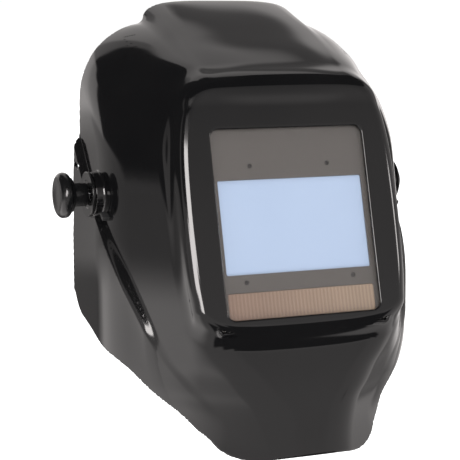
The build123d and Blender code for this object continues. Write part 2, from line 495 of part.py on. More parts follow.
# ---------------------------------------------------------------- side arms and pivots (row frame)
ARM_Z = 11.0
for s, name in ((1, "left"), (-1, "right")):
    # arm: from the band's side, out and forward to the pivot disc
    path = [(80.9, 70.0), (81.0, 56.0), (83.7, 40.0), (90.5, 24.0), (96.4, 12.0), (98.3, 4.0), (98.6, -6.0)]
    th = 3.0
    outp, inp = [], []
    for i, (x, y) in enumerate(path):
        a = path[max(i - 1, 0)]
        c = path[min(i + 1, len(path) - 1)]
        tx, ty = c[0] - a[0], c[1] - a[1]
        ln = math.hypot(tx, ty)
        nx, ny = -ty / ln, tx / ln
        outp.append((s * (x + nx * th / 2), y + ny * th / 2))
        inp.append((s * (x - nx * th / 2), y - ny * th / 2))
    so = Edge.make_spline([Vector(x, y, -ARM_Z) for x, y in outp])
    si = Edge.make_spline([Vector(x, y, -ARM_Z) for x, y in inp])
    w = Wire([so, Edge.make_line(Vector(*outp[-1], -ARM_Z), Vector(*inp[-1], -ARM_Z)), si, Edge.make_line(Vector(*inp[0], -ARM_Z), Vector(*outp[0], -ARM_Z))])
    arm = extrude(Face(w), 2 * ARM_Z, dir=(0, 0, 1))
    arm = arm & poly_prism([(72, -7.5), (40, -9), (10, -11), (-20, -11), (-20, 11), (10, 11), (40, 5), (72, 4.5)], min(s * 70, s * 110), max(s * 70, s * 110))
    disc = xcyl(14.0, s * 97.1, s * 100.1)
    arm = arm - xcyl(15.0, s * 90, s * 97.1) - xcyl(15.0, s * 100.1, s * 108)
    arm = arm + disc
    arm = arm - xcyl(3.02, s * 90, s * 110)
    rivets = []
    for y in (52.0, 64.0):
        rv = (Pos(s * 79.6, y, -1.5) * Rot(0, 90, 0) * Cylinder(1.6, 7.6)) + (Pos(s * 83.2, y, -1.5) * Rot(0, 90, 0) * Cylinder(3.0, 1.2))
        rivets.append(rv)
        arm = arm - rv
    save(f"arm_rivets_{name}", *rivets)
    save(f"side_arm_{name}", arm)
    # carriage bolt: domed head inside, shank out through the knob
    head = xcyl(8.5, s * 94.6, s * 97.1)
    shank = xcyl(BOLT_R, s * 97.1, s * (129.0 if s < 0 else 115.0))
    save(f"pivot_bolt_{name}", head + shank)
    save(f"pivot_sleeve_{name}", xcyl(SLEEVE_R, s * 100.1, s * 110.9) - xcyl(BOLT_R, s * 95, s * 120))
    save(f"friction_washer_{name}", xcyl(12.5, s * 100.4, s * 102.6) - xcyl(SLEEVE_R + 0.3, s * 95, s * 120))
    # stop plate on the arm: its peg meets the shell's lug when the shell is fully down
    peg_a = math.radians(STOP_A + 12.0 + 10.2)
    stop = xcyl(12.5, s * 95.0, s * 97.0)
    tab = xbox(min(s * 95.0, s * 97.0), max(s * 95.0, s * 97.0), 6.0, STOP_R + 3.6, -4.0, 4.0)
    stop = stop + (Rot(math.degrees(peg_a), 0, 0) * tab)
    stop = stop + xcyl(2.0, s * 96.0, s * 101.6, STOP_R * math.cos(peg_a), STOP_R * math.sin(peg_a))
    stop = stop - xcyl(8.8, s * 90, s * 99)
    save(f"stop_plate_{name}", stop)
    # outer washer between the shell and the knob
    ow = xcyl(15.0, s * 110.9, s * (113.0 if s < 0 else 112.1)) - xcyl(BOLT_R + 0.15, s * 100, s * 120)
    save(f"outer_washer_{name}", ow)
    if s < 0:
        # tension knob on the wearer's right: neck, stepped underside and domed rim
        neck = xcyl(KNOB_NECK_R, s * 113.3, s * 124.0)
        step1 = xcyl(11.6, s * 122.6, s * 125.6)
        cap = xcyl(KNOB_R, s * 124.6, s * 133.4)
        cap_edges = cap.edges().filter_by(GeomType.CIRCLE)
        cap = fillet(cap_edges, 3.6)
        knob = neck + step1 + cap
        knob = knob - xcyl(10.0, s * 131.9, s * 140)
        knob = knob - xcyl(4.2, s * 110, s * 128.0) - xcyl(3.06, s * 110, s * 129.6)
        ins = xcyl(4.2, s * 114.0, s * 128.0) - xcyl(3.06, s * 100, s * 140)
    else:
        # low disc knob on the wearer's left, with thumb flutes round its edge
        knob = xcyl(9.6, s * 112.4, s * 115.7)
        knob = chamfer(knob.edges().filter_by(GeomType.CIRCLE), 0.5)
        for k in range(16):
            q = math.radians(22.5 * k)
            knob = knob - xcyl(1.0, s * 112, s * 117, 10.2 * math.cos(q), 10.2 * math.sin(q))
        knob = knob - xcyl(4.2, s * 110, s * 114.9) - xcyl(3.06, s * 110, s * 115.1)
        ins = xcyl(4.2, s * 112.6, s * 114.9) - xcyl(3.06, s * 100, s * 140)
    save(f"tension_knob_{name}", knob)
    save(f"threaded_insert_{name}", ins)
print("done")
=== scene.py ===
import math

import bmesh
import bpy
import numpy as np
from mathutils import Matrix, Vector


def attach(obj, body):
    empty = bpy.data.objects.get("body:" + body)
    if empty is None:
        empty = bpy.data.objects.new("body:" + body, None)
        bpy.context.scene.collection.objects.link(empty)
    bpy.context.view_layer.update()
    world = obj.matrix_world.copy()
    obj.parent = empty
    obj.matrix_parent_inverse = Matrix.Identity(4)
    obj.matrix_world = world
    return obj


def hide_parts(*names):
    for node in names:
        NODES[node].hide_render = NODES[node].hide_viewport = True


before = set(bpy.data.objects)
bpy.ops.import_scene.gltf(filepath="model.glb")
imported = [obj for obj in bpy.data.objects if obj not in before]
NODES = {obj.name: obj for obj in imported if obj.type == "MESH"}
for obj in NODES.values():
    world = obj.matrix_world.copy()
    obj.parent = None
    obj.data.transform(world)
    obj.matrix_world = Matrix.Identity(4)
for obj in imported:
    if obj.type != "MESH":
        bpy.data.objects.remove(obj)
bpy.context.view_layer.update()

scene = bpy.context.scene
scene.view_settings.view_transform = "Standard"
scene.view_settings.look = "None"

# ------------------------------------------------------------ camera
cam_data = bpy.data.cameras.new("camera")
cam_data.lens = 112.6
cam_data.sensor_width = 36.0
cam_data.dof.use_dof = False
cam_data.clip_start = 0.05
camera = bpy.data.objects.new("camera", cam_data)
scene.collection.objects.link(camera)
_az, _el = math.radians(-21.91), math.radians(8.60)
_back = Vector((math.sin(_az) * math.cos(_el), -math.cos(_az) * math.cos(_el), math.sin(_el)))
_right = Vector((math.cos(_az), math.sin(_az), 0.0))
_up = _back.cross(_right)
_m = Matrix((_right, _up, _back)).transposed().to_4x4()
_m.translation = Vector((-0.3765, -0.9086, 0.1185))
camera.matrix_world = _m
scene.camera = camera

# ------------------------------------------------------------ small numeric helpers
def cubic(xs, ys):
    """Natural cubic spline as a function, straight beyond its ends."""
    xs = np.asarray(xs, float)
    ys = np.asarray(ys, float)
    if xs[0] > xs[-1]:
        xs, ys = xs[::-1], ys[::-1]
    n = len(xs)
    h = np.diff(xs)
    A = np.zeros((n, n))
    r = np.zeros(n)
    A[0, 0] = A[-1, -1] = 1
    for i in range(1, n - 1):
        A[i, i - 1:i + 2] = h[i - 1], 2 * (h[i - 1] + h[i]), h[i]
        r[i] = 6 * ((ys[i + 1] - ys[i]) / h[i] - (ys[i] - ys[i - 1]) / h[i - 1])
    m = np.linalg.solve(A, r)

    def f(x):
        x = np.asarray(x, float)
        i = np.clip(np.searchsorted(xs, x) - 1, 0, n - 2)
        xc = np.clip(x, xs[0], xs[-1])
        a = (xs[i + 1] - xc) / h[i]
        b = (xc - xs[i]) / h[i]
        v = a * ys[i] + b * ys[i + 1] + ((a ** 3 - a) * m[i] + (b ** 3 - b) * m[i + 1]) * h[i] ** 2 / 6
        s0 = (ys[1] - ys[0]) / h[0] - h[0] * m[1] / 6
        s1 = (ys[-1] - ys[-2]) / h[-1] + h[-1] * m[-2] / 6
        return v + np.where(x < xs[0], (x - xs[0]) * s0, 0) + np.where(x > xs[-1], (x - xs[-1]) * s1, 0)
    return f


def curve(points, step=0.4):
    """Dense points along a smooth curve through the given points."""
    p = np.asarray(points, float)
    t = np.r_[0, np.cumsum(np.sqrt(np.hypot(*np.diff(p, axis=0).T)))]
    fx, fy = cubic(t, p[:, 0]), cubic(t, p[:, 1])
    tt = np.linspace(0, t[-1], 4000)
    q = np.c_[fx(tt), fy(tt)]
    s = np.r_[0, np.cumsum(np.hypot(*np.diff(q, axis=0).T))]
    n = int(s[-1] / step) + 1
    u = np.linspace(0, s[-1], n)
    return np.c_[np.interp(u, s, q[:, 0]), np.interp(u, s, q[:, 1])]


class Table:
    """Signed distance to a plane outline, looked up with smooth interpolation."""

    def __init__(self, line, closing, lo, hi, h=1.5):
        poly = np.vstack([line, np.asarray(closing, float).reshape(-1, 2)])
        self.lo = np.asarray(lo, float)
        self.h = h
        n = ((np.asarray(hi) - self.lo) / h).astype(int) + 2
        gx = self.lo[0] + h * np.arange(n[0])
        gy = self.lo[1] + h * np.arange(n[1])
        P = np.stack(np.meshgrid(gx, gy, indexing="ij"), -1).reshape(-1, 2)
        a, b = line[:-1], line[1:]
        d = np.full(len(P), 1e9)
        ab = b - a
        L = (ab ** 2).sum(1)
        for k in range(0, len(P), 4000):
            q = P[k:k + 4000, None, :] - a[None]
            t = np.clip((q * ab[None]).sum(-1) / L, 0, 1)
            d[k:k + 4000] = np.sqrt(((q - t[..., None] * ab) ** 2).sum(-1)).min(1)
        inside = np.zeros(len(P), bool)
        x, y = P[:, 0], P[:, 1]
        for (x0, y0), (x1, y1) in zip(poly, np.roll(poly, -1, axis=0)):
            if y0 == y1:
                continue
            c = ((y0 > y) != (y1 > y)) & (x < (x1 - x0) * (y - y0) / (y1 - y0) + x0)
            inside ^= c
        self.v = np.where(inside, -d, d).reshape(n)
        self.n = n

    def __call__(self, x, y):
        fx = np.clip((x - self.lo[0]) / self.h, 1, self.n[0] - 2.001)
        fy = np.clip((y - self.lo[1]) / self.h, 1, self.n[1] - 2.001)
        ix, iy = fx.astype(int), fy.astype(int)
        tx, ty = fx - ix, fy - iy

        def w(t):
            return ((-t + 2 * t ** 2 - t ** 3) / 2, (2 - 5 * t ** 2 + 3 * t ** 3) / 2, (t + 4 * t ** 2 - 3 * t ** 3) / 2, (-t ** 2 + t ** 3) / 2)
        wx, wy = w(tx), w(ty)
        out = 0
        for i in range(4):
            row = 0
            for j in range(4):
                row = row + wy[j] * self.v[np.clip(ix + i - 1, 0, self.n[0] - 1), np.clip(iy + j - 1, 0, self.n[1] - 1)]
            out = out + wx[i] * row
        return out


def smax(a, b, k):
    h = np.clip(0.5 + 0.5 * (a - b) / k, 0, 1)
    return b + (a - b) * h + k * h * (1 - h)


def smin(a, b, k):
    return -smax(-a, -b, k)


def rmax(a, b, r):
    """Intersection with a round edge of radius r."""
    return np.minimum(np.maximum(a, b), -r) + np.hypot(np.maximum(a + r, 0), np.maximum(b + r, 0))


def rmin(a, b, r):
    return -rmax(-a, -b, r)


def sstep(x, a, b):
    t = np.clip((x - a) / (b - a), 0, 1)
    return t * t * (3 - 2 * t)


def rrect(u, v, hw, hh, r):
    """Signed distance to a rounded rectangle."""
    qx, qy = np.abs(u) - (hw - r), np.abs(v) - (hh - r)
    return np.hypot(np.maximum(qx, 0), np.maximum(qy, 0)) + np.minimum(np.maximum(qx, qy), 0) - r


# ------------------------------------------------------------ helmet shell (mm)
T = 2.8
FT = np.radians(15.76)
NY, NZ = -np.cos(FT), np.sin(FT)

SIDE = curve([(90, 139), (60, 126), (44, 119.2), (20, 109.2), (0, 101.2), (-20, 93.6), (-35, 87.6), (-46, 82.4), (-53, 78), (-57.6, 70),
              (-61.8, 50), (-67.2, 28), (-73.4, 4), (-80.4, -22), (-87, -46), (-93.5, -70), (-99.5, -92), (-105.5, -112), (-111.5, -132),
              (-117.5, -150), (-123, -166), (-131, -190)])
side_t = Table(SIDE, [(90, -190)], (-150, -185), (60, 142))
SHO = curve([(-150, -60), (-114, -30), (-110.5, 0), (-108.6, 20), (-108, 40), (-106.8, 59), (-103.4, 73), (-96.8, 86), (-90.6, 95.4), (-79.6, 104.8), (-69, 109.2), (-57, 111.4), (-40, 113.4), (-20, 114.4), (0, 114.6),
             (20, 114.4), (40, 113.4), (57, 111.4), (69, 109.2), (79.6, 104.8), (90.6, 95.4), (96.8, 86), (103.4, 73), (106.8, 59), (108, 40), (108.6, 20), (110.5, 0), (114, -30), (150, -60)])
sho_t = Table(SHO, [(150, -300), (-150, -300)], (-3, -185), (120, 142))
# cheeks: plane offset by height
cheek_c = cubic([-190, -160, -151, -145.6, -140, -134.8, -129.7, -124.4, -119, -114, -108.6, -103, -95, -80, -60, -30, -5, 20, 35, 43, 50, 57, 64, 71, 78.5, 85.5, 92, 100, 106.3, 114.6, 122],
                [103, 98, 96.4, 95.6, 95.5, 97, 99.8, 102.2, 104.2, 105.4, 106.4, 107, 107.4, 107.4, 107, 105.6, 103.8, 101.2, 99.0, 96.8, 94.3, 91.2, 87, 81.8, 76.2, 71.6, 65.4, 56.6, 47.8, 35.6, 25])
chin_c = cubic([-190, -161, -156, -150, -145, -135, -126, -120, -108, -100, -90, -80, -50], [108, 104.2, 103.2, 102.2, 101.6, 101.2, 102.2, 104, 107, 110, 114, 119, 131])
HUMP_S = curve([(90, 133), (62, 128.6), (51, 126.9), (42, 124.4), (20, 116.2), (-7, 104.2), (-27, 95), (-40, 87.8), (-49, 82), (-56, 75), (-62, 66)])
hump_s = Table(HUMP_S, [(90, 66)], (-150, 40), (60, 142))
hump_w = cubic([-60, -30, 0, 44, 60], [44, 49, 52, 54.5, 55.5])
CREASE = curve([(90, 88), (62, 54.5), (48, 37.6), (38.3, 26.4), (27, 14.6), (9.4, 0), (-8.6, -12.8), (-23, -25.5), (-39, -45), (-51, -63.3), (-60, -78), (-68.2, -93), (-75, -108), (-93, -150)])
crease_t = Table(CREASE, [(-93, -300), (90, -300)], (-150, -185), (60, 142))
HALF = [(0, 90), (20, 89.8), (36, 89.1), (48, 88), (55.5, 85.6), (61, 81.2), (64.8, 74.6), (67.4, 66.5), (69.1, 57), (70.4, 46), (71.3, 28), (71.6, 4), (71.2, -20), (70.4, -38), (69.2, -50),
        (67.8, -58.6), (63.4, -65.2), (57, -69.4), (48, -71.9), (36, -73.4), (18, -74.1), (0, -74.3)]
FRAME = curve(HALF + [(-a, b) for a, b in HALF[-2::-1]])
frame_t = Table(FRAME, [], (-6, -100), (106, 120))
LOWER = curve([(70, -72), (44, -72), (40, -74.2), (31, -83), (16, -88), (0, -92), (-26, -100), (-45, -108.6), (-60, -126), (-75, -144), (-82, -149.6),
               (-88, -155.5), (-95, -159.6), (-103, -161), (-110.5, -159.6), (-118, -157), (-140, -152)])
lower_t = Table(LOWER, [(-140, -330), (70, -330)], (-150, -200), (62, -30))


def face_uv(x, y, z):
    dy, dz = y + 86.0, z + 12.0
    return x, dy * NZ - dz * NY, -(dy * NY + dz * NZ)      # u, v, depth behind the face


def outer_field(x, y, z):
    """Outside of the shell: negative inside."""
    x = np.abs(x)
    S = side_t(y, z)
    H = sho_t(x, z)
    cheek = 0.8826 * x - 0.4704 * y - cheek_c(z)
    chin = 0.640 * x - 0.768 * y - chin_c(z)
    wall = x - 106.1
    F = smax(S, H, 9.0)
    F = smax(F, smax(cheek, wall, 9.0), 10.0)
    F = smax(F, chin, 9.0)
    d = -crease_t(y, z)
    far = sstep(y, -88.0, -25.0)
    near = sstep(y, -70.0, -59.0)
    step = 4.5 * far * sstep(d, -3.0, 3.0) + 4.5 * np.maximum(near - far, 0) * sstep(d, -2.4, 2.4) * np.exp(-np.maximum(d, 0) / 9.0)
    F = F - step
    # crown hump
    hs = hump_s(y, z)
    hw = hump_w(y)
    bow = hs + 5.0 * (x / hw) ** 4
    hump = smax(bow, (x - hw - 0.12 * (127.0 - z)) * 0.97, 5.0)
    hump = smax(hump, cheek + 1.0, 6.0)
    F = smin(F, hump, 5.0)
    # face frame
    u, v, w = face_uv(x, y, z)
    fr = frame_t(u, v) - 4.6
    fr = rmax(fr, -w, 8.0 + 8.0 * sstep(v, -54.0, -68.0))
    fr = smax(fr, w - 30.0, 3.0)
    F = smin(F, fr, 4.0 + 9.0 * sstep(v, 70.0, 88.0))
    return F


def rim_y(z):
    """Plane of the rear rim, leaning back over the crown."""
    return 44.0 + 7.0 * np.clip((z - 30.0) / 95.0, 0, 1.3)



def surface_nets(F, lo, h):
    """Quads of the zero surface of a grid of values, one vertex per cell that it crosses."""
    F = F.astype(np.float32)
    n = F.shape
    neg = F < 0
    c = np.zeros((n[0] - 1, n[1] - 1, n[2] - 1), np.uint8)
    for i in (0, 1):
        for j in (0, 1):
            for k in (0, 1):
                c += neg[i:n[0] - 1 + i, j:n[1] - 1 + j, k:n[2] - 1 + k]
    act = (c > 0) & (c < 8)
    idx = -np.ones(act.shape, np.int64)
    cells = np.argwhere(act)
    idx[act] = np.arange(len(cells))
    acc = np.zeros((len(cells), 3))
    cnt = np.zeros(len(cells))
    ci, cj, ck = cells.T
    for ax in range(3):
        o = [a for a in range(3) if a != ax]
        for p in (0, 1):
            for q in (0, 1):
                d0 = [0, 0, 0]
                d0[o[0]], d0[o[1]] = p, q
                d1 = list(d0)
                d1[ax] = 1
                a = F[ci + d0[0], cj + d0[1], ck + d0[2]]
                b = F[ci + d1[0], cj + d1[1], ck + d1[2]]
                m = (a < 0) != (b < 0)
                t = np.where(m, a / np.where(m, a - b, 1), 0)
                pt = np.zeros((len(cells), 3))
                pt[:, o[0]] = p
                pt[:, o[1]] = q
                pt[:, ax] = t
                acc += pt * m[:, None]
                cnt += m
    verts = np.asarray(lo) + h * (cells + acc / cnt[:, None])
    quads = []
    for ax in range(3):
        o = [(ax + 1) % 3, (ax + 2) % 3]
        sl0 = [slice(None)] * 3
        sl1 = [slice(None)] * 3
        sl0[ax] = slice(0, n[ax] - 1)
        sl1[ax] = slice(1, n[ax])
        ch = neg[tuple(sl0)] != neg[tuple(sl1)]
        e = np.argwhere(ch)
        ok = (e[:, o[0]] > 0) & (e[:, o[1]] > 0) & (e[:, o[0]] < n[o[0]] - 1) & (e[:, o[1]] < n[o[1]] - 1)
        e = e[ok]
        first_neg = neg[tuple(e.T)]
        q = []
        for p0, p1 in ((-1, -1), (0, -1), (0, 0), (-1, 0)):
            w = e.copy()
            w[:, o[0]] += p0
            w[:, o[1]] += p1
            q.append(idx[tuple(w.T)])
        q = np.stack(q, 1)
        q[~first_neg] = q[~first_neg][:, ::-1]
        quads.append(q)
    return verts, np.vstack(quads)


def project(field, v, rounds=3, eps=0.05, lim=1.0):
    """Moves points onto the field's zero surface; returns points and unit normals."""
    for r in range(rounds + 1):
        x, y, z = v.T
        f = field(x, y, z)
        g = np.stack([field(x + eps, y, z) - field(x - eps, y, z), field(x, y + eps, z) - field(x, y - eps, z), field(x, y, z + eps) - field(x, y, z - eps)], 1) / (2 * eps)
        gg = (g ** 2).sum(1)
        if r == rounds:
            return v, g / np.sqrt(np.maximum(gg, 1e-9))[:, None]
        stepv = -(f / np.maximum(gg, 0.05))[:, None] * g
        ln = np.linalg.norm(stepv, axis=1, keepdims=True)
        v = v + stepv * np.minimum(1, lim / np.maximum(ln, 1e-9))


# ------------------------------------------------------------ placing
FACE_O = np.array([0.0, -86.0, -12.0])
FACE_NRM = np.array([0.0, NY, NZ])
FACE_UP = np.array([0.0, NZ, -NY])
BT = math.radians(10.0)
FACE_M = Matrix(((1, 0, 0, 0), (0, NZ, NY, -0.086), (0, -NY, NZ, -0.012), (0, 0, 0, 1)))      # local x=u, y=v, z=out of the face
BAND_M = Matrix.Translation((0, 0.062, -0.002)) @ Matrix.Rotation(-BT, 4, "X")


def link(name, mesh):
    o = bpy.data.objects.new(name, mesh)
    scene.collection.objects.link(o)
    return o


def mesh_obj(name, verts, faces, smooth=True, scale=0.001):
    me = bpy.data.meshes.new(name)
    me.from_pydata([tuple(float(c) * scale for c in v) for v in verts], [], [tuple(int(i) for i in f) for f in faces])
    me.update()
    o = link(name, me)
    if smooth:
        me.polygons.foreach_set("use_smooth", [True] * len(me.polygons))
    return o


def bake(o, m):
    o.data.transform(m)
    o.data.update()


def smooth_by_angle(o, deg=35.0):
    me = o.data
    bm = bmesh.new()
    bm.from_mesh(me)
    lim = math.radians(deg)
    for e in bm.edges:
        e.smooth = not (len(e.link_faces) == 2 and e.calc_face_angle(0.0) > lim)
    bm.to_mesh(me)
    bm.free()
    me.polygons.foreach_set("use_smooth", [True] * len(me.polygons))


def lathe(name, profile, axis="X", segs=96, sign=1):
    """Closed turned piece; profile is a loop of (radius, position along the axis), in mm."""
    verts, faces = [], []
    n = len(profile)
    for k in range(segs):
        a = 2 * math.pi * k / segs
        for r, p in profile:
            c, s = r * math.cos(a), r * math.sin(a)
            verts.append({"X": (sign * p, c, s), "Y": (c, p, s), "Z": (c, s, p)}[axis])
    for k in range(segs):
        for i in range(n):
            j = (i + 1) % n
            k2 = (k + 1) % segs
            faces.append((k * n + i, k * n + j, k2 * n + j, k2 * n + i))
    o = mesh_obj(name, verts, faces)
    bm = bmesh.new()
    bm.from_mesh(o.data)
    bmesh.ops.remove_doubles(bm, verts=bm.verts, dist=1e-6)
    bmesh.ops.dissolve_degenerate(bm, edges=bm.edges, dist=1e-7)
    bmesh.ops.recalc_face_normals(bm, faces=bm.faces)
    bm.to_mesh(o.data)
    bm.free()
    return o


def arc_pts(cx, cy, r, a0, a1, n=8):
    """Points of an arc in a profile, angles in degrees."""
    return [(cx + r * math.cos(math.radians(a0 + (a1 - a0) * i / n)), cy + r * math.sin(math.radians(a0 + (a1 - a0) * i / n))) for i in range(n + 1)]


# ------------------------------------------------------------ materials
def material(name, color, rough, metal=0.0, spec=0.5, coat=0.0, coat_rough=0.05, sheen=0.0):
    m = bpy.data.materials.new(name)
    m.use_nodes = True
    b = m.node_tree.nodes["Principled BSDF"]
    b.inputs["Base Color"].default_value = (*color, 1.0)
    b.inputs["Roughness"].default_value = rough
    b.inputs["Metallic"].default_value = metal
    b.inputs["Specular IOR Level"].default_value = spec
    b.inputs["Coat Weight"].default_value = coat
    b.inputs["Coat Roughness"].default_value = coat_rough
    b.inputs["Sheen Weight"].default_value = sheen
    return m


def nd(m, kind, **kw):
    n = m.node_tree.nodes.new(kind)
    for k, v in kw.items():
        if k in n.inputs.keys():
            n.inputs[k].default_value = v
        else:
            setattr(n, k, v)
    return n


def lk(m, a, b):
    m.node_tree.links.new(a, b)


def coords(m, scale=(1, 1, 1)):
    t = nd(m, "ShaderNodeTexCoord")
    p = nd(m, "ShaderNodeMapping")
    p.inputs["Scale"].default_value = scale
    lk(m, t.outputs["Object"], p.inputs["Vector"])
    return p.outputs["Vector"]


def vary(m, socket, lo, hi, scale, detail=4.0, vec=None, rough=0.55):
    """Drives a socket with noise between two values or two colours."""
    b = m.node_tree.nodes["Principled BSDF"]
    nz = nd(m, "ShaderNodeTexNoise", Scale=scale, Detail=detail, Roughness=rough)
    lk(m, vec if vec else coords(m), nz.inputs["Vector"])
    if isinstance(lo, tuple):
        r = nd(m, "ShaderNodeValToRGB")
        r.color_ramp.elements[0].position = 0.3
        r.color_ramp.elements[1].position = 0.7
        r.color_ramp.elements[0].color = (*lo, 1)
        r.color_ramp.elements[1].color = (*hi, 1)
        lk(m, nz.outputs["Fac"], r.inputs["Fac"])
        lk(m, r.outputs["Color"], b.inputs[socket])
    else:
        r = nd(m, "ShaderNodeMapRange")
        r.inputs["From Min"].default_value = 0.3
        r.inputs["From Max"].default_value = 0.7
        r.inputs["To Min"].default_value = lo
        r.inputs["To Max"].default_value = hi
        lk(m, nz.outputs["Fac"], r.inputs["Value"])
        lk(m, r.outputs["Result"], b.inputs[socket])
    return nz


def bump(m, height, strength, dist, chain=None):
    b = m.node_tree.nodes["Principled BSDF"]
    n = nd(m, "ShaderNodeBump", Strength=strength, Distance=dist)
    lk(m, height, n.inputs["Height"])
    if chain is not None:
        lk(m, chain, n.inputs["Normal"])
    lk(m, n.outputs["Normal"], b.inputs["Normal"])
    return n.outputs["Normal"]


def grain(m, scale, strength, dist, kind="noise", vec=None):
    v = vec if vec else coords(m)
    if kind == "noise":
        t = nd(m, "ShaderNodeTexNoise", Scale=scale, Detail=3.0, Roughness=0.6)
        out = t.outputs["Fac"]
    else:
        t = nd(m, "ShaderNodeTexVoronoi", Scale=scale)
        out = t.outputs["Distance"]
    lk(m, v, t.inputs["Vector"])
    return bump(m, out, strength, dist)


# polished black shell: faint orange peel, fine wipe marks in the gloss
shell_mat = material("shell_gloss", (0.0035, 0.0035, 0.0038), 0.09, spec=0.5)
vary(shell_mat, "Roughness", 0.06, 0.12, 14.0, 5.0)
vary(shell_mat, "Base Color", (0.0030, 0.0030, 0.0034), (0.0052, 0.0050, 0.0052), 9.0)
grain(shell_mat, 90.0, 0.02, 0.0008)
# inside of the shell: satin with a fine moulded texture
inner_mat = material("shell_satin", (0.012, 0.012, 0.0125), 0.45, spec=0.4)
vary(inner_mat, "Roughness", 0.38, 0.55, 30.0, 6.0)
vary(inner_mat, "Base Color", (0.010, 0.010, 0.0105), (0.017, 0.0168, 0.017), 16.0)
grain(inner_mat, 900.0, 0.25, 0.0004)


def nylon(name, col, rough=0.42, g=700.0):
    m = material(name, col, rough, spec=0.45)
    lo = tuple(c * 0.8 for c in col)
    hi = tuple(min(1, c * 1.35) for c in col)
    vary(m, "Base Color", lo, hi, 22.0, 5.0)
    vary(m, "Roughness", rough - 0.07, rough + 0.1, 60.0, 6.0)
    grain(m, g, 0.22, 0.0003)
    return m


band_mat = nylon("band_nylon", (0.020, 0.020, 0.022), 0.40)
arm_mat = nylon("arm_nylon", (0.014, 0.014, 0.015), 0.36, 500.0)
ratchet_mat = nylon("ratchet_nylon", (0.017, 0.017, 0.0185), 0.34, 520.0)
case_mat = nylon("filter_case_black", (0.013, 0.013, 0.014), 0.5, 1100.0)
rubber_mat = nylon("key_rubber", (0.045, 0.046, 0.05), 0.62, 1400.0)
knob_mat = material("knob_phenolic", (0.004, 0.004, 0.0043), 0.16, spec=0.4)
vary(knob_mat, "Roughness", 0.12, 0.22, 40.0, 5.0)
vary(knob_mat, "Base Color", (0.0032, 0.0032, 0.0035), (0.006, 0.006, 0.0062), 30.0)
grain(knob_mat, 450.0, 0.05, 0.0003)
washer_mat = material("washer_fibre", (0.05, 0.042, 0.036), 0.75)
vary(washer_mat, "Base Color", (0.036, 0.03, 0.026), (0.075, 0.064, 0.054), 260.0, 8.0)
grain(washer_mat, 1500.0, 0.5, 0.0003)
steel_mat = material("zinc_steel", (0.55, 0.55, 0.56), 0.28, metal=1.0)
vary(steel_mat, "Roughness", 0.2, 0.42, 120.0, 8.0)
vary(steel_mat, "Base Color", (0.44, 0.44, 0.45), (0.66, 0.66, 0.68), 90.0, 6.0)
grain(steel_mat, 700.0, 0.08, 0.0002)
brass_mat = material("turned_brass", (0.75, 0.57, 0.26), 0.24, metal=1.0)
vary(brass_mat, "Base Color", (0.62, 0.46, 0.2), (0.82, 0.64, 0.32), 120.0, 6.0)
vary(brass_mat, "Roughness", 0.18, 0.36, 200.0, 6.0)
lens_mat = material("cover_polycarbonate", (0.03, 0.032, 0.034), 0.03, spec=0.5)
lens_mat.node_tree.nodes["Principled BSDF"].inputs["Alpha"].default_value = 0.08
vary(lens_mat, "Roughness", 0.02, 0.08, 25.0, 4.0)
# filter front panel: warm grey sheet with a very fine matt texture
panel_mat = material("panel_grey", (0.104, 0.093, 0.087), 0.5, spec=0.35)
vary(panel_mat, "Base Color", (0.100, 0.0893, 0.0835), (0.108, 0.0967, 0.0905), 12.0, 8.0)
vary(panel_mat, "Roughness", 0.46, 0.54, 80.0, 6.0)
grain(panel_mat, 900.0, 0.05, 0.0001)
# liquid crystal window: pale blue interference coating, its tone varying in broad noise
window_mat = material("window_blue", (0.40, 0.50, 0.72), 0.10, spec=0.5, coat=0.5, coat_rough=0.03)
vary(window_mat, "Base Color", (0.402, 0.495, 0.667), (0.428, 0.522, 0.694), 7.0, 3.0)
vary(window_mat, "Roughness", 0.08, 0.14, 20.0, 4.0)
# solar strip: vertical cells in brown silicon, warmer at one end
solar_mat = material("solar_brown", (0.25, 0.19, 0.15), 0.35, spec=0.5, coat=0.4, coat_rough=0.08)
_v = coords(solar_mat)
_sep = nd(solar_mat, "ShaderNodeSeparateXYZ")
lk(solar_mat, _v, _sep.inputs["Vector"])
_r0 = nd(solar_mat, "ShaderNodeMapRange")
_r0.inputs["From Min"].default_value = -0.051
_r0.inputs["From Max"].default_value = 0.051
lk(solar_mat, _sep.outputs["X"], _r0.inputs["Value"])
_c0 = nd(solar_mat, "ShaderNodeValToRGB")
_c0.color_ramp.elements[0].color = (0.231, 0.151, 0.114, 1)
_c0.color_ramp.elements[1].color = (0.303, 0.220, 0.160, 1)
lk(solar_mat, _r0.outputs["Result"], _c0.inputs["Fac"])
_w1 = nd(solar_mat, "ShaderNodeTexWave", Scale=125.0, Distortion=0.5, Detail=2.0)
_w1.bands_direction = "X"
lk(solar_mat, _v, _w1.inputs["Vector"])
_n1 = nd(solar_mat, "ShaderNodeTexNoise", Scale=60.0, Detail=6.0)
_m1 = nd(solar_mat, "ShaderNodeMapping")
_m1.inputs["Scale"].default_value = (1.0, 0.02, 0.02)
lk(solar_mat, _v, _m1.inputs["Vector"])
lk(solar_mat, _m1.outputs["Vector"], _n1.inputs["Vector"])
_a1 = nd(solar_mat, "ShaderNodeMath", operation="ADD")
lk(solar_mat, _w1.outputs["Fac"], _a1.inputs[0])
lk(solar_mat, _n1.outputs["Fac"], _a1.inputs[1])
_r1 = nd(solar_mat, "ShaderNodeMapRange")
_r1.inputs["From Min"].default_value = 0.2
_r1.inputs["From Max"].default_value = 1.8
_r1.inputs["To Min"].default_value = 0.80
_r1.inputs["To Max"].default_value = 1.20
lk(solar_mat, _a1.outputs["Value"], _r1.inputs["Value"])
_vm = nd(solar_mat, "ShaderNodeVectorMath", operation="SCALE")
lk(solar_mat, _c0.outputs["Color"], _vm.inputs[0])
lk(solar_mat, _r1.outputs["Result"], _vm.inputs["Scale"])
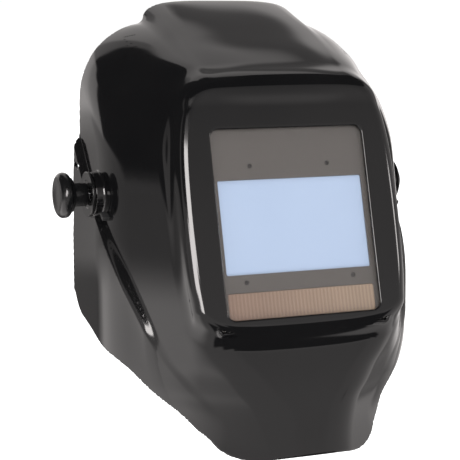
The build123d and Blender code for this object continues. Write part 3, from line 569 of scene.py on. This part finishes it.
lk(solar_mat, _vm.outputs["Vector"], solar_mat.node_tree.nodes["Principled BSDF"].inputs["Base Color"])
sensor_mat = material("sensor_dome", (0.03, 0.028, 0.028), 0.14, spec=0.6, coat=0.6)
vary(sensor_mat, "Base Color", (0.022, 0.02, 0.02), (0.05, 0.045, 0.043), 500.0)
board_mat = material("circuit_green", (0.01, 0.09, 0.035), 0.4)
vary(board_mat, "Base Color", (0.008, 0.07, 0.028), (0.02, 0.14, 0.055), 300.0, 8.0)
grain(board_mat, 900.0, 0.3, 0.0002, "voronoi")
display_mat = material("display_grey", (0.30, 0.33, 0.27), 0.16, spec=0.5, coat=0.5)
vary(display_mat, "Base Color", (0.27, 0.30, 0.245), (0.33, 0.36, 0.30), 60.0, 3.0)
# padded cloth: fine knit, its tone varying in fine noise, a soft sheen
cloth_mat = material("pad_cloth", (0.028, 0.028, 0.032), 0.85, spec=0.2, sheen=0.35)
vary(cloth_mat, "Base Color", (0.020, 0.020, 0.024), (0.044, 0.044, 0.050), 900.0, 6.0)
_wv = nd(cloth_mat, "ShaderNodeTexVoronoi", Scale=1400.0)
lk(cloth_mat, coords(cloth_mat), _wv.inputs["Vector"])
bump(cloth_mat, _wv.outputs["Distance"], 0.6, 0.0005)
thread_mat = material("thread_grey", (0.10, 0.10, 0.11), 0.7, sheen=0.2)
vary(thread_mat, "Base Color", (0.075, 0.075, 0.085), (0.14, 0.14, 0.15), 2500.0)
grain(thread_mat, 3000.0, 0.4, 0.0002)


def dress(node, mat):
    o = NODES[node]
    o.data.materials.clear()
    o.data.materials.append(mat)


def all_dress():
    table = {
        "front_cover_lens": lens_mat, "inner_cover_lens": lens_mat, "filter_front_case": panel_mat, "filter_rear_case": case_mat,
        "filter_glass": window_mat, "solar_cell": solar_mat, "arc_sensors": sensor_mat, "circuit_board": board_mat, "control_display": display_mat,
        "coin_cells": steel_mat, "filter_retainer": arm_mat, "latch_screw": steel_mat, "retainer_latch": arm_mat,
        "power_button": rubber_mat, "mode_button": rubber_mat, "minus_button": rubber_mat, "plus_button": rubber_mat,
        "battery_cap_left": case_mat, "battery_cap_right": case_mat, "brow_band": band_mat, "sweatband": cloth_mat, "nape_pad": cloth_mat,
        "strap_rivets": arm_mat, "strap_snaps": arm_mat, "crown_strap_left": band_mat, "crown_strap_right": band_mat, "rear_strap": band_mat,
        "ratchet_housing": ratchet_mat, "ratchet_cover": ratchet_mat, "ratchet_spring": steel_mat, "ratchet_knob": ratchet_mat, "ratchet_pinion": ratchet_mat,
        "nape_band_left": band_mat, "nape_band_right": band_mat}
    for s in ("left", "right"):
        table.update({f"side_arm_{s}": arm_mat, f"arm_rivets_{s}": steel_mat, f"pivot_bolt_{s}": steel_mat, f"pivot_sleeve_{s}": arm_mat,
                      f"friction_washer_{s}": washer_mat, f"stop_plate_{s}": arm_mat, f"outer_washer_{s}": knob_mat, f"tension_knob_{s}": knob_mat,
                      f"threaded_insert_{s}": brass_mat})
    for k, v in table.items():
        dress(k, v)
    dress("shell", shell_mat)


all_dress()


# ------------------------------------------------------------ the shell
OW, OH, OR = 53.0, 60.25, 6.0


def shell_field(x, y, z):
    ax = np.abs(x)
    F = outer_field(x, y, z)
    low = lower_t(y, z)
    G = np.abs(F + T / 2) - T / 2
    u, v, w = face_uv(x, y, z)
    au = np.abs(u)
    # lens pocket: walls behind the frame, recess in the frame's back
    ring = np.maximum(np.maximum(rrect(u, v, 60.0, 69.5, 4.0), -rrect(u, v, 57.4, 66.9, 2.0)), np.maximum(2.2 - w, w - 12.0))
    G = smin(G, ring, 1.0)
    pocket = np.maximum(rrect(u, v, 57.4, 66.9, 2.0), np.maximum(2.2 - w, w - 14.0))
    G = np.maximum(G, -pocket)
    # pivot hubs
    rr = np.hypot(y, z)
    hub = np.maximum(rr - 14.7, np.maximum(102.9 - ax, ax - 110.5))
    G = smin(G, hub, 1.2)
    # hollow inside for the stop peg, beside its lug
    G = rmax(G, -np.maximum(np.hypot(y + 15.3, z + 15.4) - 3.4, ax - 102.1), 0.3)
    # the opening, with a small round on its edge
    op = np.maximum(rrect(u, v, OW, OH, OR), w - 14.0)
    G = rmax(G, -op, 0.9)
    G = rmax(G, -np.maximum(rr - 5.08, 95.0 - ax), 0.4)
    # angle slot
    c, s = math.cos(math.radians(9.0)), math.sin(math.radians(9.0))
    dy, dz = y - 37.0, z - 15.2
    sy, sz = dy * c + dz * s, -dy * s + dz * c
    slot = np.maximum(rrect(sy, sz, 5.5, 1.3, 1.25), 98.0 - ax)
    G = rmax(G, -slot, 0.3)
    # rear and lower rims
    G = rmax(G, y - rim_y(z), 0.9)
    G = rmax(G, -low, 0.9)
    return G


def in_face(f):
    def g(u, v, w):
        P = FACE_O[:, None] + np.outer(FACE_UP, v) - np.outer(FACE_NRM, w)
        return f(u, P[1], P[2])
    return g


def build_shell(h):
    """Closed mesh of the shell, worked out on a grid that lies square to the face."""
    f = in_face(shell_field)
    lo = np.array([-117.0, -160.0, -62.0])
    lo[0] = -h * (round(117.0 / h) + 0.5)
    hi = np.array([117.0, 177.0, 152.0])
    n = ((hi - lo) / h).astype(int) + 2
    st = 4
    nb = -(-n // st)
    cx = [lo[i] + h * (st * np.arange(nb[i]) + st / 2.0) for i in range(3)]
    X, Y, Z = np.meshgrid(*cx, indexing="ij")
    fo = in_face(outer_field)(X.ravel(), Y.ravel(), Z.ravel())
    near = np.abs(fo) < h * st * 0.9 + 5.5
    w = Z.ravel()
    near |= (w < 18) & (w > -3) & (np.abs(X.ravel()) < 66) & (np.abs(Y.ravel()) < 78)
    P = FACE_O[:, None] + np.outer(FACE_UP, Y.ravel()) - np.outer(FACE_NRM, w)
    near |= (np.hypot(P[1], P[2]) < 24) & (np.abs(X.ravel()) > 96) & (np.abs(X.ravel()) < 116)
    near = near.reshape(nb)
    F = np.ones(nb * st, np.float32)
    blk = np.argwhere(near)
    off = np.stack(np.meshgrid(*[np.arange(st)] * 3, indexing="ij"), -1).reshape(-1, 3)
    for k in range(0, len(blk), 6000):
        ijk = (blk[k:k + 6000, None, :] * st + off[None]).reshape(-1, 3)
        p = lo + h * ijk
        F[tuple(ijk.T)] = f(p[:, 0], p[:, 1], p[:, 2])
    v, q = surface_nets(F, lo, h)
    v, nrm = project(f, v, 2, 0.04, h * 0.8)
    fi = in_face(outer_field)(v[:, 0], v[:, 1], v[:, 2])
    P = FACE_O[None] + v[:, :1] * np.array([[1.0, 0, 0]]) + v[:, 1:2] * FACE_UP[None] - v[:, 2:3] * FACE_NRM[None]
    N = nrm[:, :1] * np.array([[1.0, 0, 0]]) + nrm[:, 1:2] * FACE_UP[None] - nrm[:, 2:3] * FACE_NRM[None]
    a, b, c = P[q[:, 0]], P[q[:, 1]], P[q[:, 2]]
    if (np.cross(b - a, c - a) * N[q[:, 0]]).sum() < 0:
        q = q[:, ::-1]
    return P, N, q, fi


P, N, Q, FI = build_shell(1.25)
me = bpy.data.meshes.new("shell_body")
me.vertices.add(len(P))
me.vertices.foreach_set("co", (P * 0.001).astype(np.float32).ravel())
me.loops.add(4 * len(Q))
me.loops.foreach_set("vertex_index", Q.astype(np.int32).ravel())
me.polygons.add(len(Q))
me.polygons.foreach_set("loop_start", (4 * np.arange(len(Q))).astype(np.int32))
me.polygons.foreach_set("loop_total", np.full(len(Q), 4, np.int32))
inside = (FI[Q].mean(1) < -T * 0.62)
me.polygons.foreach_set("material_index", inside.astype(np.int32))
me.polygons.foreach_set("use_smooth", np.ones(len(Q), bool))
me.update(calc_edges=True)
me.validate()
me.materials.append(shell_mat)
me.materials.append(inner_mat)
me.normals_split_custom_set_from_vertices([tuple(map(float, r)) for r in N])
shell_obj = link("shell_body", me)
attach(shell_obj, "helmet_shell")
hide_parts("shell")


# ------------------------------------------------------------ moulded details inside the shell
def block(name, x0, x1, y0, y1, z0, z1, m, r=0.35, mat=inner_mat, body="helmet_shell", segs=2):
    o = mesh_obj(name, [(x, y, z) for x in (x0, x1) for y in (y0, y1) for z in (z0, z1)],
                 [(0, 1, 3, 2), (4, 6, 7, 5), (0, 4, 5, 1), (2, 3, 7, 6), (0, 2, 6, 4), (1, 5, 7, 3)])
    bm = bmesh.new()
    bm.from_mesh(o.data)
    bmesh.ops.bevel(bm, geom=list(bm.edges), offset=r * 0.001, segments=segs, affect="EDGES", profile=0.6)
    bmesh.ops.recalc_face_normals(bm, faces=bm.faces)
    bm.to_mesh(o.data)
    bm.free()
    smooth_by_angle(o, 40)
    bake(o, m)
    o.data.materials.append(mat)
    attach(o, body)
    return o


for s, tag in ((1, "left"), (-1, "right")):
    block(f"retainer_hook_{tag}", min(s * 26, s * 34), max(s * 26, s * 34), -76.0, -74.0, -19.0, -8.8, FACE_M)
    block(f"retainer_hook_lip_{tag}", min(s * 26, s * 34), max(s * 26, s * 34), -75.2, -69.4, -19.0, -16.5, FACE_M)
    lug = block(f"stop_lug_{tag}", min(s * 98.8, s * 108.4), max(s * 98.8, s * 108.4), 19.0, 25.0, -1.5, 1.5, Matrix.Rotation(math.radians(215.0), 4, "X"))
post = lathe("latch_post", [(1.75, -2.6), (4.6, -2.6), (4.6, -15.8), (4.3, -16.1), (1.75, -16.1)], "Z", 48)
bake(post, Matrix.Translation((0, 0.077, 0)))
bake(post, FACE_M)
smooth_by_angle(post, 40)
post.data.materials.append(inner_mat)
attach(post, "helmet_shell")


# ------------------------------------------------------------ tension knobs
def soft_loop(points, r=0.5, n=5):
    """Rounds every convex or concave corner of a closed (radius, position) loop."""
    out = []
    m = len(points)
    for i in range(m):
        a, b, c = np.array(points[i - 1], float), np.array(points[i], float), np.array(points[(i + 1) % m], float)
        if b[0] < 0.01:
            out.append(tuple(b))
            continue
        u, v = a - b, c - b
        lu, lv = np.linalg.norm(u), np.linalg.norm(v)
        u, v = u / lu, v / lv
        k = min(r, lu * 0.45, lv * 0.45)
        for j in range(n + 1):
            t = j / n
            p = b + u * k * (1 - t) ** 2 + v * k * t ** 2
            out.append(tuple(p))
    return out


for s, tag in ((-1, "right"),):
    # cap: thick round rim, shallow dish on the outside, stepped underside, long neck
    prof = [(3.1, 113.4), (7.2, 113.4)] + [(7.7, 113.9), (7.8, 121.6)] + arc_pts(9.2, 121.6, 1.4, 180, 110, 5)[1:]
    prof += [(10.6, 123.1), (11.4, 123.6), (11.6, 124.5)]
    prof += arc_pts(10.9, 129.0, 4.25, -62, 78, 16)
    prof += [(9.9, 132.75), (8.0, 132.2), (5.0, 131.95), (0.0, 131.9), (0.0, 129.7), (3.1, 129.6)]
    o = lathe(f"knob_{tag}", prof, "X", 128, s)
    smooth_by_angle(o, 50)
    o.data.materials.append(knob_mat)
    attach(o, f"tension_knob_{tag}")
    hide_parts(f"tension_knob_{tag}")
    wprof = soft_loop([(3.2, 110.95), (14.9, 110.95), (14.9, 112.95), (9.4, 112.95), (9.0, 112.6), (3.2, 112.6)], 0.5)
    o = lathe(f"washer_disc_{tag}", wprof, "X", 96, s)
    smooth_by_angle(o, 50)
    o.data.materials.append(knob_mat)
    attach(o, "headgear")
    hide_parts(f"outer_washer_{tag}")


# ------------------------------------------------------------ padded pieces
def band_point(deg, a, bb, off):
    q = math.radians(deg)
    rb = bb if math.sin(q) < 0 else a
    x, y = a * math.cos(q), rb * math.sin(q)
    nx, ny = math.cos(q) / a, math.sin(q) / rb
    ln = math.hypot(nx, ny)
    return x + nx / ln * off, y + ny / ln * off


def pad(name, centre, angs, half_t, z0, z1, seams, mat, dots=True):
    """Crowned cushion that follows an arc: flat against the band, swelling inwards, with sewn channels."""
    n_l, n_c = 260, 72
    verts, faces = [], []
    A = np.linspace(angs[0], angs[1], n_l)
    S = (A - angs[0]) / (angs[1] - angs[0])
    for i, (ang, s_) in enumerate(zip(A, S)):
        ends = min(s_, 1 - s_) * abs(angs[1] - angs[0])
        taper = min(1.0, (max(ends, 0.0) / 5.0)) ** 0.5 if ends < 5.0 else 1.0
        zs = (z1 - z0) / 2 * (0.80 + 0.20 * taper)
        zc = (z0 + z1) / 2
        ch = 1.0
        for q in seams:
            ch *= 1.0 - 0.42 * math.exp(-((ang - q) / 0.75) ** 2)
        th = half_t * taper
        for j in range(n_c):
            t = 2 * math.pi * j / n_c
            c, sn = math.cos(t), math.sin(t)
            # flat on the band's side (positive), full on the head's side (negative)
            zz = math.copysign(abs(sn) ** 0.62, sn)
            oo = math.copysign(abs(c) ** (0.45 if c > 0 else 0.8), c)
            pipe = 0.20 * math.exp(-((abs(zz) - 0.90) / 0.05) ** 2) if c < 0 else 0.0
            depth = oo * th * (1.0 if c > 0 else ch) - (0.0 if c > 0 else 0.0)
            depth *= 1.0 - pipe
            x, y = centre(ang, -depth * -1.0)
            verts.append((x, y, zc + zz * zs))
    for i in range(n_l - 1):
        for j in range(n_c):
            k = (j + 1) % n_c
            faces.append((i * n_c + j, i * n_c + k, (i + 1) * n_c + k, (i + 1) * n_c + j))
    for i, flip in ((0, False), (n_l - 1, True)):
        c = np.mean([verts[i * n_c + j] for j in range(n_c)], axis=0)
        verts.append(tuple(c))
        m = len(verts) - 1
        for j in range(n_c):
            k = (j + 1) % n_c
            faces.append((m, i * n_c + k, i * n_c + j) if not flip else (m, i * n_c + j, i * n_c + k))
    o = mesh_obj(name, verts, faces)
    bm = bmesh.new()
    bm.from_mesh(o.data)
    bmesh.ops.recalc_face_normals(bm, faces=bm.faces)
    bm.to_mesh(o.data)
    bm.free()
    bake(o, BAND_M)
    o.data.materials.append(mat)
    return o


def stitches(name, centre, angs, z, off, step=0.9, length=2.2, rad=0.28):
    """Row of short thread stitches lying on the pad."""
    verts, faces = [], []
    ang = angs[0]
    while ang < angs[1]:
        a1 = ang + step * 0.62
        p0 = np.array([*centre(ang, off), z])
        p1 = np.array([*centre(a1, off), z])
        d = p1 - p0
        d /= np.linalg.norm(d)
        side = np.array([0, 0, 1.0])
        out = np.cross(d, side)
        base = len(verts)
        for i in range(5):
            t = i / 4
            c = p0 + (p1 - p0) * t
            lift = math.sin(math.pi * t) * 0.25
            r = rad * (0.45 + 0.55 * math.sin(math.pi * (0.1 + 0.8 * t)))
            for j in range(6):
                q = 2 * math.pi * j / 6
                verts.append(tuple(c + side * r * math.cos(q) + out * (r * math.sin(q) + lift * 0)))
        for i in range(4):
            for j in range(6):
                k = (j + 1) % 6
                faces.append((base + i * 6 + j, base + i * 6 + k, base + (i + 1) * 6 + k, base + (i + 1) * 6 + j))
        faces.append(tuple(base + j for j in reversed(range(6))))
        faces.append(tuple(base + 24 + j for j in range(6)))
        ang += step
    o = mesh_obj(name, verts, faces)
    bake(o, BAND_M)
    o.data.materials.append(thread_mat)
    return o


def brow_c(ang, off):
    return band_point(ang, 78.0 - 4.3, 110.0 - 4.3, off)


sweat = pad("sweatband_pad", brow_c, (205.0, 335.0), 2.75, -17.8, 18.8, [218, 231, 244, 257, 270, 283, 296, 309, 322], cloth_mat)
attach(sweat, "headgear")
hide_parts("sweatband")
for nm, zz in (("top", 15.4), ("bottom", -14.4)):
    o = stitches(f"sweatband_stitch_{nm}", brow_c, (209.0, 331.0), zz, -2.35, 2.0)
    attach(o, "headgear")


def nape_c(ang, off):
    r = 79.5 - 6.75 + off
    return r * math.cos(math.radians(ang)), r * math.sin(math.radians(ang))


nape = pad("nape_cushion", nape_c, (60.2, 119.8), 2.75, -15.8, 15.8, [75, 90, 105], cloth_mat)
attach(nape, "headgear")
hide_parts("nape_pad")
for nm, zz in (("top", 12.6), ("bottom", -12.6)):
    o = stitches(f"nape_stitch_{nm}", nape_c, (63.0, 117.0), zz, -2.35, 2.2)
    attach(o, "headgear")

# ------------------------------------------------------------ stage, cards and lights
WHITE = material("floor_white", (0.92, 0.92, 0.92), 0.9, spec=0.0)
WHITE.node_tree.nodes["Principled BSDF"].inputs["Emission Color"].default_value = (1, 1, 1, 1)
WHITE.node_tree.nodes["Principled BSDF"].inputs["Emission Strength"].default_value = 0.55
floor = mesh_obj("floor", [(-9000, -9000, -300), (9000, -9000, -300), (9000, 9000, -300), (-9000, 9000, -300)], [(0, 1, 2, 3)], smooth=False)
floor.data.materials.append(WHITE)
floor.visible_glossy = False


def glow(name, col, strength):
    m = bpy.data.materials.new(name)
    m.use_nodes = True
    nt = m.node_tree
    nt.nodes.clear()
    out = nt.nodes.new("ShaderNodeOutputMaterial")
    e = nt.nodes.new("ShaderNodeEmission")
    e.inputs["Color"].default_value = (*col, 1)
    e.inputs["Strength"].default_value = strength
    nt.links.new(e.outputs["Emission"], out.inputs["Surface"])
    return m


def reflect_only(o):
    o.visible_camera = False
    o.visible_diffuse = False
    o.visible_shadow = False
    o.visible_transmission = False


# tent of soft light seen only in the gloss: (azimuth from, to, elevation from, to, softness, level low, level high)
TENT = [
    (-212, -148, -60, 30, 4, 1.15, 1.15),       # behind on the left
    (-176, -136, -60, 0, 6, 0.17, 0.17),
    (112, 170, 44, 57, 7, 0.28, 0.28),          # dark band over the crown
    (-160, -148, 28, 56, 4, 0.50, 0.50),
    (-76, 113, 37, 91, 3, 0.025, 0.025),        # dark above the front
    (-20, 64, -3, 37, 2, 0.86, 0.36),           # front softbox
    (62, 100, -3, 37, 3, 0.62, 0.5),
    (-76, 76, -91, -2, 3, 0.90, 0.86),          # bright ground in front
    (7, 31, -30, -8, 2, 0.05, 0.05),
    (12, 42, -40, -14, 4, 0.05, 0.05),
    (-30, 10, -80, -38, 8, 0.05, 0.05),
    (-8, 46, -80, -22, 6, 0.05, 0.05),
    (-137, -78, 3, 38, 2.5, 0.04, 0.04),        # dark side wall
    (-149, -76, 28, 91, 2.5, 0.035, 0.035),
    (-156, -84, -14, 3, (12, 2.5), 0.46, 0.46),
    (-136, -60, -91, -11, (28, 8), 2.3, 2.0),         # bright ground on the left
    (-78, -61, -3, 37, 3, 0.85, 0.35),
    (-68, -42, 13, 38, 3, 0.05, 0.05),            # dark beside the key strip
    (-42, -12, 12, 28, 2, 16.0, 16.0),            # key strip beside the camera
    (-50, -22, 2, 13, 2, 16.0, 16.0),
    (48, 57, 5, 17, 2, 12.0, 12.0),
    (99, 150, -60, -27, 9, 0.35, 0.35),
    (-180, 180, 75, 92, 4, 0.04, 0.04),
    (104, 122, -8, 37, 4, 0.10, 0.10),
]

def tent_level(az, el):
    L = np.full(az.shape, 0.92)
    for a0, a1, e0, e1, k, lo_, hi_ in TENT:
        ka, ke = k if isinstance(k, tuple) else (k, k)
        m = 0
        for turn in (-360, 0, 360):
            a = az + turn
            m = np.maximum(m, np.clip((a - a0) / ka + 0.5, 0, 1) * np.clip((a1 - a) / ka + 0.5, 0, 1))
        m = m * np.clip((el - e0) / ke + 0.5, 0, 1) * np.clip((e1 - el) / ke + 0.5, 0, 1)
        m = m * m * (3 - 2 * m)
        t = np.clip((el - e0) / (e1 - e0), 0, 1)
        L = L * (1 - m) + (lo_ + (hi_ - lo_) * t) * m
    return L


def tent(rad=620.0, na=480, ne=240):
    """Sphere round the object. Azimuth 0 is straight ahead (-Y), positive to +X."""
    verts, faces = [], []
    azs = np.linspace(-180, 180, na + 1)
    els = np.linspace(-89.5, 89.5, ne + 1)
    A, E = np.meshgrid(azs, els, indexing="ij")
    for a_, e_ in zip(np.radians(A.ravel()), np.radians(E.ravel())):
        r_ = rad
        verts.append((r_ * math.sin(a_) * math.cos(e_), -r_ * math.cos(a_) * math.cos(e_), r_ * math.sin(e_)))
    for i in range(na):
        for j in range(ne):
            a = i * (ne + 1) + j
            faces.append((a, a + 1, a + ne + 2, a + ne + 1))
    o = mesh_obj("light_tent", verts, faces)
    at = o.data.attributes.new("level", "FLOAT", "POINT")
    at.data.foreach_set("value", tent_level(A.ravel(), E.ravel()).astype(np.float32))
    m = glow("tent_glow", (1.0, 0.955, 0.940), 1.0)
    n = m.node_tree.nodes.new("ShaderNodeAttribute")
    n.attribute_name = "level"
    e = [x for x in m.node_tree.nodes if x.type == "EMISSION"][0]
    m.node_tree.links.new(n.outputs["Fac"], e.inputs["Strength"])
    m.cycles.emission_sampling = "NONE"
    o.data.materials.append(m)
    reflect_only(o)
    return o


tent()

w = bpy.data.worlds.new("studio")
scene.world = w
w.cycles_visibility.glossy = False
w.use_nodes = True
nt = w.node_tree
nt.nodes.clear()
wo = nt.nodes.new("ShaderNodeOutputWorld")
bg = nt.nodes.new("ShaderNodeBackground")
nt.links.new(bg.outputs["Background"], wo.inputs["Surface"])
bg.inputs["Strength"].default_value = 1.04
bg.inputs["Color"].default_value = (1, 1, 1, 1)


def area(name, loc, target, size, power, size_y=None, spread=None, glossy=True):
    d = bpy.data.lights.new(name, "AREA")
    d.energy = power
    d.shape = "RECTANGLE" if size_y else "SQUARE"
    d.size = size
    if size_y:
        d.size_y = size_y
    o = bpy.data.objects.new(name, d)
    scene.collection.objects.link(o)
    o.location = loc
    o.rotation_euler = (Vector(target) - Vector(loc)).to_track_quat("-Z", "Y").to_euler()
    o.visible_glossy = glossy
    o.visible_camera = False
    return o


area("overhead", (0.1, 0.25, 1.6), (0, 0, 0), 1.6, 14.0, 1.2, glossy=False)
area("front_fill", (-0.5, -1.7, 1.1), (0, -0.05, 0), 1.2, 16.0, 1.0, glossy=False)
